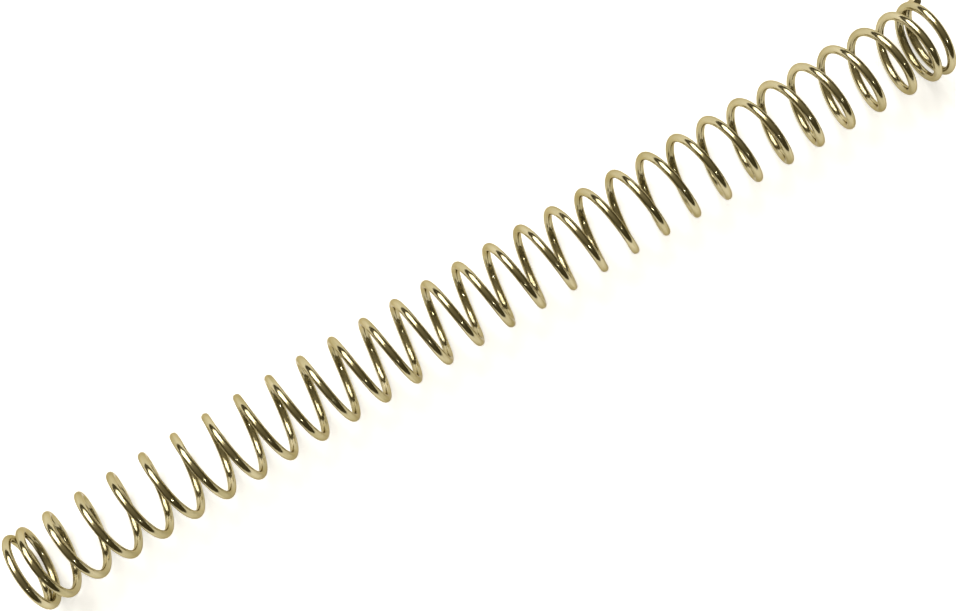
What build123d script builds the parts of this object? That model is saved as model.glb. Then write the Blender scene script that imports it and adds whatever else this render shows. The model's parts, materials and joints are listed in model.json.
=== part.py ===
"""Long helical compression spring with closed, unground ends, lying on its side.

The spring is one round wire wound right-handed about the X axis.  Its length is
divided where the wire passes the height of the axis, at the two sides of every
turn, so that each half turn can swing about an upright line through the wire
there and the coils can close up.  Both end coils, which stay rigid, run on from
the last of those places to the cut tips.  Like most long slender springs it isn't
quite straight: it bows sideways, by side_bow, in the plane that it lies in.

Origin: middle of the spring, on the surface that it lies on.  +X runs along the
spring, +Z is up.
"""
from build123d import *
from math import ceil, cos, pi, radians, sin
import os

# Driving dimensions in millimetres, unless the name says otherwise.
wire_diameter = 1.4
mean_radius = 6.3
open_pitch = 5.9
closed_pitch = 1.0
coil_turns = 31.5
left_opening_turns = 2.8
right_opening_turns = 3.0
side_bow = 1.07
tip_angle = -160.0
half_coil_count = 57
first_hinge_angle = 360.0
arcs_per_turn = 11
overrun_turns = 0.02
trim_box_side = 1.6 * wire_diameter

wire_radius = wire_diameter / 2
axis_height = mean_radius + wire_radius


def opened_turns(turns, opening_turns):
    """Turns at full pitch that a stretch next to a tip is worth as its pitch opens up."""
    share = min(turns / opening_turns, 1.0)
    past = max(turns - opening_turns, 0.0)
    return opening_turns * (share**3 - share**4 / 2) + past


def wound_length(turn):
    """Distance along the axis from the left tip to the wire's centre at a turn."""
    left = opened_turns(turn, left_opening_turns)
    right = opened_turns(coil_turns, right_opening_turns) - opened_turns(
        coil_turns - turn, right_opening_turns
    )
    return closed_pitch * turn + (open_pitch - closed_pitch) * (left + right - turn)


def wire_angle(turn):
    """Angle of the wire about the axis, from +Y towards +Z, in radians."""
    return radians(tip_angle) + 2 * pi * turn


def wire_point(turn):
    """Centre of the wire at a turn counted from the left tip."""
    half_length = wound_length(coil_turns) / 2
    along = wound_length(turn) - half_length
    bow = side_bow * (0.5 - (along / half_length) ** 2)
    across = mean_radius * cos(wire_angle(turn)) + bow
    up = mean_radius * sin(wire_angle(turn))
    return Vector(along, across, axis_height + up)


def wire_direction(turn):
    """Direction of the wire at a turn, from the left tip to the right one."""
    step = 0.001
    before = max(turn - step, 0.0)
    after = min(turn + step, coil_turns)
    return (wire_point(after) - wire_point(before)).normalized()


def hinge_turn(number):
    """Turn at which the wire passes the axis height for the given hinge."""
    angle = first_hinge_angle + 180.0 * (number - 1)
    return (angle - tip_angle) / 360.0


def wire_route(first_turn, last_turn):
    """Centre line of the wire between two turns, as arcs of about an eleventh of a turn."""
    steps = ceil((last_turn - first_turn) * arcs_per_turn)
    step = (last_turn - first_turn) / steps
    for i in range(steps):
        start = first_turn + i * step
        ThreePointArc(wire_point(start), wire_point(start + step / 2), wire_point(start + step))


def sweep_wire(first_turn, last_turn):
    """Round wire from one turn to another, in the part that is being built."""
    with BuildLine() as route:
        wire_route(first_turn, last_turn)
    section_plane = Plane(origin=wire_point(first_turn), z_dir=wire_direction(first_turn))
    with BuildSketch(section_plane) as section:
        Circle(wire_radius)
    sweep(section.sketch, path=route.wires()[0], is_frenet=True, transition=Transition.RIGHT)


def trim_above(turn):
    """Cut away the wire just above the axis height, at the hinge found at a turn."""
    centre = wire_point(turn) + Vector(0, 0, trim_box_side / 2)
    with Locations(centre):
        Box(trim_box_side, trim_box_side, trim_box_side, mode=Mode.SUBTRACT)


os.makedirs("parts", exist_ok=True)

# Left end: the closed coil from the cut tip to the first hinge, on the +Y side.
with BuildPart() as fixed_end_coil:
    sweep_wire(0.0, hinge_turn(1) + overrun_turns)
    trim_above(hinge_turn(1))
fixed_end_coil.part.label = "fixed_end_coil"
export_step(fixed_end_coil.part, "parts/fixed_end_coil.step")

# Half turns, the odd ones above the axis height and the even ones below it.
for number in range(1, half_coil_count + 1):
    side_kept = Keep.TOP if number % 2 == 1 else Keep.BOTTOM
    with BuildPart() as half_coil:
        sweep_wire(hinge_turn(number) - overrun_turns, hinge_turn(number + 1) + overrun_turns)
        split(bisect_by=Plane.XY.offset(axis_height), keep=side_kept)
    half_coil.part.label = f"half_coil_{number:02d}"
    export_step(half_coil.part, f"parts/half_coil_{number:02d}.step")

# Right end: from the last hinge, on the -Y side, to the other cut tip.
with BuildPart() as free_end_coil:
    sweep_wire(hinge_turn(half_coil_count + 1) - overrun_turns, coil_turns)
    trim_above(hinge_turn(half_coil_count + 1))
free_end_coil.part.label = "free_end_coil"
export_step(free_end_coil.part, "parts/free_end_coil.step")
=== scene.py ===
"""Looks of the helical compression spring: fine wire, straw-tinted polished metal, studio.

Everything is in metres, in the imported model's frame.  The wire's formulas are the
CAD model's own, so each fine piece lies exactly on the node that it replaces.
"""
import json
from math import cos, pi, radians, sin, sqrt

import bpy
from mathutils import Matrix, Vector


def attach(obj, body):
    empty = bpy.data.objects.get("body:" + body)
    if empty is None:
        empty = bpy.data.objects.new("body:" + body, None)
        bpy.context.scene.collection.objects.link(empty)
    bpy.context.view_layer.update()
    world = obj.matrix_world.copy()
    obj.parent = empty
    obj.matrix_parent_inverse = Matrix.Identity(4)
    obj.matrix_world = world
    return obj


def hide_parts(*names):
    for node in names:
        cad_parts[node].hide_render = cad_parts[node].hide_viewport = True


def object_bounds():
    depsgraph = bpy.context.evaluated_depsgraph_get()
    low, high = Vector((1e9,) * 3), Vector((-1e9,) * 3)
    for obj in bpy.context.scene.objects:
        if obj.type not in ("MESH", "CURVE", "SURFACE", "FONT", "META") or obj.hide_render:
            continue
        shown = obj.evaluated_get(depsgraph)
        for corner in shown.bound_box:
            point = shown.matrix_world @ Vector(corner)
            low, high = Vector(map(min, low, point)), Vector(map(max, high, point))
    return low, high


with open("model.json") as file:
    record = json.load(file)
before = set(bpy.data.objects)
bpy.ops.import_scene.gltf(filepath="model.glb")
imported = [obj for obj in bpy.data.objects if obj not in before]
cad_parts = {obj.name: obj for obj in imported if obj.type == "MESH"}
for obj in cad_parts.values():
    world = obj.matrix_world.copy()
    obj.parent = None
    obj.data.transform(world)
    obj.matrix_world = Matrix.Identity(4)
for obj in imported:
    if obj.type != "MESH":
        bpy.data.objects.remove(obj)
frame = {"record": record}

cad_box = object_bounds()

# The wire and the coil, as in the CAD model, in metres unless the name says otherwise.
WIRE_RADIUS = 0.0007
MEAN_RADIUS = (cad_box[1][2] - cad_box[0][2]) / 2 - WIRE_RADIUS
AXIS_HEIGHT = (cad_box[0][2] + cad_box[1][2]) / 2
OPEN_PITCH = 0.0059
CLOSED_PITCH = 0.0010
COIL_TURNS = 31.5
LEFT_OPENING_TURNS = 2.8
RIGHT_OPENING_TURNS = 3.0
SIDE_BOW = 0.00107
TIP_ANGLE = -160.0
FIRST_HINGE_ANGLE = 360.0

# The skin stays this much inside the CAD's wire, so that no facet of it stands outside.
SKIN_MARGIN = 0.000003
SKIN_RADIUS = WIRE_RADIUS - SKIN_MARGIN

# Fineness of the meshes.
RINGS_PER_TURN = 96
SIDES = 32
EDGE_RADIUS = 0.00009
EDGE_RINGS = 5
FACE_RINGS = 6
FACE_DISH = 0.00004
FACE_RIPPLES = 3
FACE_RIPPLE_TWIST = 9
FACE_RIPPLE_SHARE = 0.4


# ---------------------------------------------------------------- the wire's line


def opened_turns(turns, opening_turns):
    """Turns at full pitch that a stretch next to a tip is worth as its pitch opens up."""
    share = min(turns / opening_turns, 1.0)
    past = max(turns - opening_turns, 0.0)
    return opening_turns * (share**3 - share**4 / 2) + past


def wound_length(turn):
    """Distance along the axis from the left tip to the wire's centre at a turn."""
    left = opened_turns(turn, LEFT_OPENING_TURNS)
    right = opened_turns(COIL_TURNS, RIGHT_OPENING_TURNS) - opened_turns(
        COIL_TURNS - turn, RIGHT_OPENING_TURNS
    )
    return CLOSED_PITCH * turn + (OPEN_PITCH - CLOSED_PITCH) * (left + right - turn)


HALF_LENGTH = wound_length(COIL_TURNS) / 2


def wire_centre(turn):
    """Centre of the wire at a turn counted from the left tip."""
    angle = radians(TIP_ANGLE) + 2 * pi * turn
    along = wound_length(turn) - HALF_LENGTH
    bow = SIDE_BOW * (0.5 - (along / HALF_LENGTH) ** 2)
    return Vector(
        (
            along,
            MEAN_RADIUS * cos(angle) + bow,
            AXIS_HEIGHT + MEAN_RADIUS * sin(angle),
        )
    )


def wire_axes(turn):
    """Along the wire, away from the coil's axis, and square to both."""
    step = 0.0005
    before = max(turn - step, 0.0)
    after = min(turn + step, COIL_TURNS)
    along = (wire_centre(after) - wire_centre(before)).normalized()
    angle = radians(TIP_ANGLE) + 2 * pi * turn
    outward = Vector((0.0, cos(angle), sin(angle)))
    outward = (outward - along * along.dot(outward)).normalized()
    return along, outward, along.cross(outward)


def skin_normal(turn, around):
    """Normal of the wire's skin at an angle around the wire."""
    _, outward, sideways = wire_axes(turn)
    return outward * cos(around) + sideways * sin(around)


def skin_point(turn, around):
    """Point of the wire's skin at an angle around the wire."""
    return wire_centre(turn) + skin_normal(turn, around) * SKIN_RADIUS


def turn_at_axis_height(turn, around):
    """Turn near the given one where that line of the skin passes the axis height."""
    step = 0.001
    for _ in range(4):
        height = skin_point(turn, around).z - AXIS_HEIGHT
        slope = (skin_point(turn + step, around).z - skin_point(turn - step, around).z) / (2 * step)
        turn -= height / slope
    return turn


def hinge_turn(number):
    """Turn at which the wire passes the axis height for the given hinge."""
    angle = FIRST_HINGE_ANGLE + 180.0 * (number - 1)
    return (angle - TIP_ANGLE) / 360.0


WIRE_PER_TURN = sqrt((2 * pi * MEAN_RADIUS) ** 2 + OPEN_PITCH**2)


# ---------------------------------------------------------------- wire meshes


class WireMesh:
    """Collects rings of vertices with their normals, and makes one closed mesh of them."""

    def __init__(self):
        self.points = []
        self.faces = []
        self.loop_normals = []
        self.loop_uvs = []
        self.face_slots = []
        self.rings = []

    def ring(self, places, normals, length):
        """One ring round the wire; length is how far along the wire it lies."""
        first = len(self.points)
        self.points += [tuple(place) for place in places]
        self.rings.append((first, normals, length))

    def face(self, corners, normals, uvs, slot):
        """One face with its corners' normals and its place on the wire."""
        self.faces.append(corners)
        self.loop_normals += [tuple(normal) for normal in normals]
        self.loop_uvs += uvs
        self.face_slots.append(slot)

    def join_rings(self, slot_of_ring):
        """Quads between each ring and the next; slot_of_ring gives the material's slot."""
        for index in range(len(self.rings) - 1):
            first, normals, length = self.rings[index]
            following, next_normals, next_length = self.rings[index + 1]
            for side in range(SIDES):
                other = (side + 1) % SIDES
                self.face(
                    (first + side, first + other, following + other, following + side),
                    (normals[side], normals[other], next_normals[other], next_normals[side]),
                    [
                        (side / SIDES, length),
                        ((side + 1) / SIDES, length),
                        ((side + 1) / SIDES, next_length),
                        (side / SIDES, next_length),
                    ],
                    slot_of_ring(index),
                )

    def cap(self, ring_index, centre, normal, slot, at_start):
        """Fan that closes the first or the last ring."""
        first, _, length = self.rings[ring_index]
        middle = len(self.points)
        self.points.append(tuple(centre))
        for side in range(SIDES):
            other = (side + 1) % SIDES
            corners = (first + other, first + side, middle)
            if not at_start:
                corners = (first + side, first + other, middle)
            self.face(corners, (normal, normal, normal), [(0.5, length)] * 3, slot)

    def build(self, name, materials):
        """The mesh as an object in the scene."""
        mesh = bpy.data.meshes.new(name)
        mesh.from_pydata(self.points, [], self.faces)
        layer = mesh.uv_layers.new(name="wire")
        for loop, uv in zip(layer.data, self.loop_uvs):
            loop.uv = uv
        for material in materials:
            mesh.materials.append(material)
        for polygon, slot in zip(mesh.polygons, self.face_slots):
            polygon.use_smooth = True
            polygon.material_index = slot
        mesh.normals_split_custom_set(self.loop_normals)
        piece = bpy.data.objects.new(name, mesh)
        bpy.context.scene.collection.objects.link(piece)
        return piece


def around_angles():
    """Angles around the wire at which its rings have their vertices."""
    return [2 * pi * side / SIDES for side in range(SIDES)]


def add_hinge_ring(mesh, turn):
    """A ring that lies in the horizontal plane at axis height."""
    turns = [turn_at_axis_height(turn, around) for around in around_angles()]
    mesh.ring(
        [skin_point(t, around) for t, around in zip(turns, around_angles())],
        [skin_normal(t, around) for t, around in zip(turns, around_angles())],
        turn * WIRE_PER_TURN,
    )


def add_skin_rings(mesh, first_turn, last_turn):
    """Plain rings between two turns, both ends left out."""
    count = max(2, round((last_turn - first_turn) * RINGS_PER_TURN))
    for index in range(1, count):
        turn = first_turn + (last_turn - first_turn) * index / count
        mesh.ring(
            [skin_point(turn, around) for around in around_angles()],
            [skin_normal(turn, around) for around in around_angles()],
            turn * WIRE_PER_TURN,
        )


def tip_rings_of(turn, outward_sign):
    """Rounded edge and slightly dished sheared face of a cut tip.

    Returns the rings as (places, normals, length), from the skin inwards, then the
    face's middle and the direction that it faces.
    """
    along, outward, sideways = wire_axes(turn)
    away = along * outward_sign
    centre = wire_centre(turn)
    rings = []
    for index in range(EDGE_RINGS + 1):
        bend = pi / 2 * index / EDGE_RINGS
        radius = SKIN_RADIUS - EDGE_RADIUS * (1 - cos(bend))
        depth = EDGE_RADIUS * (1 - sin(bend))
        places = []
        normals = []
        for around in around_angles():
            spoke = outward * cos(around) + sideways * sin(around)
            places.append(centre + spoke * radius - away * depth)
            normals.append(spoke * cos(bend) + away * sin(bend))
        rings.append((places, normals, turn * WIRE_PER_TURN))
    flat_radius = SKIN_RADIUS - EDGE_RADIUS
    for index in range(1, FACE_RINGS):
        share = 1 - index / FACE_RINGS
        places = []
        normals = []
        for around in around_angles():
            spoke = outward * cos(around) + sideways * sin(around)
            ripple = 0.5 + 0.5 * sin(FACE_RIPPLES * around + FACE_RIPPLE_TWIST * share)
            shallowness = 1 - FACE_RIPPLE_SHARE + FACE_RIPPLE_SHARE * ripple
            depth = FACE_DISH * (1 - share**2) * shallowness
            places.append(centre + spoke * flat_radius * share - away * depth)
            lean = 2 * FACE_DISH * share / flat_radius
            normals.append((away - spoke * lean).normalized())
        rings.append((places, normals, turn * WIRE_PER_TURN))
    return rings, centre - away * FACE_DISH, away


def fixed_end_mesh():
    """Left end coil: from the cut tip to the first hinge."""
    mesh = WireMesh()
    tip_rings, middle, away = tip_rings_of(0.0, -1)
    for ring in reversed(tip_rings):
        mesh.ring(*ring)
    clear_of_tip = EDGE_RADIUS / WIRE_PER_TURN
    add_skin_rings(mesh, clear_of_tip, hinge_turn(1))
    add_hinge_ring(mesh, hinge_turn(1))
    mesh.join_rings(lambda index: 1 if index < FACE_RINGS - 1 else 0)
    mesh.cap(0, middle, away, 1, True)
    last = len(mesh.rings) - 1
    mesh.cap(last, wire_centre(hinge_turn(1)), Vector((0, 0, 1)), 0, False)
    return mesh


def half_coil_mesh(number):
    """Half a turn between two hinges."""
    mesh = WireMesh()
    first = hinge_turn(number)
    last = hinge_turn(number + 1)
    rises = number % 2 == 1
    start_normal = Vector((0, 0, -1 if rises else 1))
    add_hinge_ring(mesh, first)
    add_skin_rings(mesh, first, last)
    add_hinge_ring(mesh, last)
    mesh.join_rings(lambda index: 0)
    mesh.cap(0, wire_centre(first), start_normal, 0, True)
    mesh.cap(len(mesh.rings) - 1, wire_centre(last), start_normal, 0, False)
    return mesh


def free_end_mesh(last_hinge):
    """Right end coil: from the last hinge to the other cut tip."""
    mesh = WireMesh()
    first = hinge_turn(last_hinge)
    add_hinge_ring(mesh, first)
    clear_of_tip = EDGE_RADIUS / WIRE_PER_TURN
    add_skin_rings(mesh, first, COIL_TURNS - clear_of_tip)
    tip_rings, middle, away = tip_rings_of(COIL_TURNS, 1)
    skin_rings = len(mesh.rings)
    for ring in tip_rings:
        mesh.ring(*ring)
    mesh.join_rings(lambda index: 1 if index >= skin_rings + EDGE_RINGS else 0)
    mesh.cap(0, wire_centre(first), Vector((0, 0, 1)), 0, True)
    mesh.cap(len(mesh.rings) - 1, middle, away, 1, False)
    return mesh


# ---------------------------------------------------------------- materials

NOISE_SPAN = (0.3, 0.7)
# Features of the wire's noises per turn around it and per metre along it.
TINT_DRIFT = (1.5, 90.0)
DRAWING_LINES = (40.0, 650.0)
WAVES = (7.0, 1300.0)
SHEAR_SCORES = (9000.0, 1500.0)
STRAW_DARK = (0.36, 0.315, 0.175, 1)
STRAW_LIGHT = (0.52, 0.465, 0.305, 1)
STRAW_EDGE = (0.58, 0.52, 0.38, 1)
SHEARED_DARK = (0.10, 0.08, 0.04, 1)
SHEARED_LIGHT = (0.34, 0.29, 0.17, 1)


def add_node(tree, kind, **values):
    """A node with its inputs set by name."""
    node = tree.nodes.new(kind)
    for name, value in values.items():
        node.inputs[name.replace("_", " ")].default_value = value
    return node


def stretched_noise(tree, uv, around_scale, along_scale, detail):
    """Noise on the wire's own coordinates, as fine around and along it as asked."""
    stretch = add_node(tree, "ShaderNodeMapping", Scale=(around_scale, along_scale, 1.0))
    tree.links.new(uv, stretch.inputs["Vector"])
    noise = add_node(tree, "ShaderNodeTexNoise", Scale=1.0, Detail=detail, Roughness=0.55)
    tree.links.new(stretch.outputs["Vector"], noise.inputs["Vector"])
    return noise.outputs["Fac"]


def remap(tree, value, low, high):
    """A noise value, which mostly stays in NOISE_SPAN, spread over low to high."""
    node = tree.nodes.new("ShaderNodeMapRange")
    node.inputs["From Min"].default_value = NOISE_SPAN[0]
    node.inputs["From Max"].default_value = NOISE_SPAN[1]
    node.inputs["To Min"].default_value = low
    node.inputs["To Max"].default_value = high
    tree.links.new(value, node.inputs["Value"])
    return node.outputs["Result"]


def mix_colours(tree, factor, first, second):
    """A colour between two, by a 0 to 1 factor."""
    node = tree.nodes.new("ShaderNodeMix")
    node.data_type = "RGBA"
    node.inputs["A"].default_value = first
    node.inputs["B"].default_value = second
    tree.links.new(factor, node.inputs["Factor"])
    return node.outputs["Result"]


def metal_material():
    """Drawn wire, polished and heat-tinted to a pale straw gold."""
    material = bpy.data.materials.new("straw_tinted_wire")
    material.use_nodes = True
    tree = material.node_tree
    shader = tree.nodes["Principled BSDF"]
    shader.inputs["Metallic"].default_value = 1.0
    shader.inputs["Specular Tint"].default_value = STRAW_EDGE
    uv = add_node(tree, "ShaderNodeTexCoord").outputs["UV"]

    tint_drift = remap(tree, stretched_noise(tree, uv, *TINT_DRIFT, 2.0), 0.0, 1.0)
    colour = mix_colours(tree, tint_drift, STRAW_DARK, STRAW_LIGHT)
    tree.links.new(colour, shader.inputs["Base Color"])

    drawing_lines = stretched_noise(tree, uv, *DRAWING_LINES, 4.0)
    roughness = remap(tree, drawing_lines, 0.08, 0.20)
    tree.links.new(roughness, shader.inputs["Roughness"])

    waves = stretched_noise(tree, uv, *WAVES, 2.0)
    wave_bump = add_node(tree, "ShaderNodeBump", Strength=0.4, Distance=0.00003)
    tree.links.new(waves, wave_bump.inputs["Height"])
    line_bump = add_node(tree, "ShaderNodeBump", Strength=0.6, Distance=0.000018)
    tree.links.new(drawing_lines, line_bump.inputs["Height"])
    tree.links.new(wave_bump.outputs["Normal"], line_bump.inputs["Normal"])
    tree.links.new(line_bump.outputs["Normal"], shader.inputs["Normal"])
    return material


def sheared_material():
    """Cut face of the wire: bare, darker and scored by the shear."""
    material = bpy.data.materials.new("sheared_face")
    material.use_nodes = True
    tree = material.node_tree
    shader = tree.nodes["Principled BSDF"]
    shader.inputs["Metallic"].default_value = 1.0
    place = add_node(tree, "ShaderNodeTexCoord").outputs["Object"]
    scores = stretched_noise(tree, place, *SHEAR_SCORES, 4.0)
    colour = mix_colours(tree, remap(tree, scores, 0.0, 1.0), SHEARED_DARK, SHEARED_LIGHT)
    tree.links.new(colour, shader.inputs["Base Color"])
    tree.links.new(remap(tree, scores, 0.35, 0.6), shader.inputs["Roughness"])
    bump = add_node(tree, "ShaderNodeBump", Strength=0.6, Distance=0.00002)
    tree.links.new(scores, bump.inputs["Height"])
    tree.links.new(bump.outputs["Normal"], shader.inputs["Normal"])
    return material


def floor_material():
    """Plain pale table that glows softly, as a light table does."""
    material = bpy.data.materials.new("pale_floor")
    material.use_nodes = True
    shader = material.node_tree.nodes["Principled BSDF"]
    shader.inputs["Base Color"].default_value = (0.9, 0.9, 0.9, 1)
    shader.inputs["Roughness"].default_value = 0.9
    shader.inputs["Specular IOR Level"].default_value = 0.0
    shader.inputs["Emission Color"].default_value = (1, 1, 1, 1)
    shader.inputs["Emission Strength"].default_value = FLOOR_GLOW
    return material


# ---------------------------------------------------------------- the spring


def place_piece(mesh, node, body, materials):
    """Puts a fine piece in the place of its CAD node, on the node's body."""
    piece = mesh.build("wire_" + node, materials)
    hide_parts(node)
    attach(piece, body)


def build_spring():
    """Every length of the wire, one fine piece for each node."""
    bodies = frame["record"]["behaviour"]["bodies"]
    body_of_node = {node: body for body, nodes in bodies.items() for node in nodes}
    half_coils = sorted(node for node in body_of_node if node.startswith("half_coil_"))
    wire = metal_material()
    cut = sheared_material()
    place_piece(fixed_end_mesh(), "fixed_end_coil", body_of_node["fixed_end_coil"], [wire, cut])
    for number, node in enumerate(half_coils, start=1):
        place_piece(half_coil_mesh(number), node, body_of_node[node], [wire])
    last_hinge = len(half_coils) + 1
    place_piece(free_end_mesh(last_hinge), "free_end_coil", body_of_node["free_end_coil"], [wire, cut])


# ---------------------------------------------------------------- studio

FLOOR_SIDE = 6.0
FLOOR_GLOW = 0.45
LIGHT_DISTANCE = 1.5
WARM_WHITE = (1.0, 0.97, 0.90)
PANE_WIDTH = 0.62
PANE_HEIGHT = 0.32
PANE_POWER = 3.0
PANE_SIDE_STEP = 27
PANE_RISE_STEP = 14
WINDOW_SIDE = -12
WINDOW_RISE = 30
LAMP_SIDE = 180
LAMP_RISE = 54
LAMP_WIDTH = 0.075
LAMP_POWER = 1.6
LAMP_WHITE = (1.0, 1.0, 0.97)
WALL_COLOUR = (0.095, 0.082, 0.042, 1)
CEILING_COLOUR = (0.36, 0.32, 0.22, 1)
SPRING_MIDDLE = Vector((0.0, 0.0, AXIS_HEIGHT))


def build_floor():
    """Flat table under the spring."""
    half = FLOOR_SIDE / 2
    mesh = bpy.data.meshes.new("floor")
    corners = [(-half, -half, 0), (half, -half, 0), (half, half, 0), (-half, half, 0)]
    mesh.from_pydata(corners, [], [(0, 1, 2, 3)])
    mesh.materials.append(floor_material())
    floor = bpy.data.objects.new("floor", mesh)
    bpy.context.scene.collection.objects.link(floor)


def add_light(name, side_angle, elevation, width, height, power, colour):
    """Rectangular lamp facing the spring; side angle 0 is +Y, positive towards +X."""
    turn = radians(side_angle)
    rise = radians(elevation)
    direction = Vector((sin(turn) * cos(rise), cos(turn) * cos(rise), sin(rise)))
    lamp = bpy.data.lights.new(name, "AREA")
    lamp.shape = "RECTANGLE"
    lamp.size = width
    lamp.size_y = height
    lamp.energy = power
    lamp.color = colour
    holder = bpy.data.objects.new(name, lamp)
    holder.location = SPRING_MIDDLE + direction * LIGHT_DISTANCE
    holder.rotation_euler = direction.to_track_quat("Z", "Y").to_euler()
    bpy.context.scene.collection.objects.link(holder)


def build_lights():
    """A window of several panes high on the +Y side, and a small lamp on the -Y side."""
    for column in (-1, 0, 1):
        for row in (0, 1, 2):
            name = f"window_{column + 2}_{row + 1}"
            side_angle = PANE_SIDE_STEP * column + WINDOW_SIDE
            elevation = WINDOW_RISE + PANE_RISE_STEP * row
            add_light(name, side_angle, elevation, PANE_WIDTH, PANE_HEIGHT, PANE_POWER, WARM_WHITE)
    add_light("small_lamp", LAMP_SIDE, LAMP_RISE, LAMP_WIDTH, LAMP_WIDTH, LAMP_POWER, LAMP_WHITE)


def build_surroundings():
    """Dim room: a brownish ceiling that darkens towards -Y; plain white to camera rays."""
    world = bpy.data.worlds.new("room")
    world.use_nodes = True
    tree = world.node_tree
    tree.nodes.clear()
    direction = tree.nodes.new("ShaderNodeTexCoord").outputs["Generated"]
    parts = tree.nodes.new("ShaderNodeSeparateXYZ")
    tree.links.new(direction, parts.inputs["Vector"])
    towards_back = tree.nodes.new("ShaderNodeMapRange")
    towards_back.inputs["From Min"].default_value = -0.75
    towards_back.inputs["From Max"].default_value = 0.25
    tree.links.new(parts.outputs["Y"], towards_back.inputs["Value"])
    overhead = tree.nodes.new("ShaderNodeMapRange")
    overhead.inputs["From Min"].default_value = 0.35
    overhead.inputs["From Max"].default_value = 0.85
    tree.links.new(parts.outputs["Z"], overhead.inputs["Value"])
    ceiling = tree.nodes.new("ShaderNodeMath")
    ceiling.operation = "MULTIPLY"
    tree.links.new(towards_back.outputs["Result"], ceiling.inputs[0])
    tree.links.new(overhead.outputs["Result"], ceiling.inputs[1])
    room = mix_colours(tree, ceiling.outputs["Value"], WALL_COLOUR, CEILING_COLOUR)
    room_light = tree.nodes.new("ShaderNodeBackground")
    tree.links.new(room, room_light.inputs["Color"])
    pale = tree.nodes.new("ShaderNodeBackground")
    pale.inputs["Color"].default_value = (1, 1, 1, 1)
    seen = tree.nodes.new("ShaderNodeLightPath").outputs["Is Camera Ray"]
    either = tree.nodes.new("ShaderNodeMixShader")
    tree.links.new(seen, either.inputs["Fac"])
    tree.links.new(room_light.outputs["Background"], either.inputs[1])
    tree.links.new(pale.outputs["Background"], either.inputs[2])
    output = tree.nodes.new("ShaderNodeOutputWorld")
    tree.links.new(either.outputs["Shader"], output.inputs["Surface"])
    bpy.context.scene.world = world


# ---------------------------------------------------------------- camera

CAMERA_PLACE = Vector((-0.0138, -0.0056, AXIS_HEIGHT + 0.2310))
CAMERA_AIM = Vector((-0.0018, -0.0005, AXIS_HEIGHT))
PICTURE_TURN = -30.77
LENS = 53.6


def build_camera():
    """Looks straight down on the spring, turned so that it runs from low left to high right."""
    camera = bpy.data.cameras.new("camera")
    camera.lens = LENS
    camera.sensor_width = 36.0
    camera.clip_start = 0.01
    back = (CAMERA_PLACE - CAMERA_AIM).normalized()
    level = Vector((cos(radians(PICTURE_TURN)), sin(radians(PICTURE_TURN)), 0.0))
    right = (level - back * back.dot(level)).normalized()
    up = back.cross(right)
    holder = bpy.data.objects.new("camera", camera)
    turned = Matrix((right, up, back)).transposed().to_4x4()
    holder.matrix_world = Matrix.Translation(CAMERA_PLACE) @ turned
    bpy.context.scene.collection.objects.link(holder)
    bpy.context.scene.camera = holder


build_spring()
build_floor()
build_lights()
build_surroundings()
build_camera()
bpy.context.scene.view_settings.view_transform = "Standard"
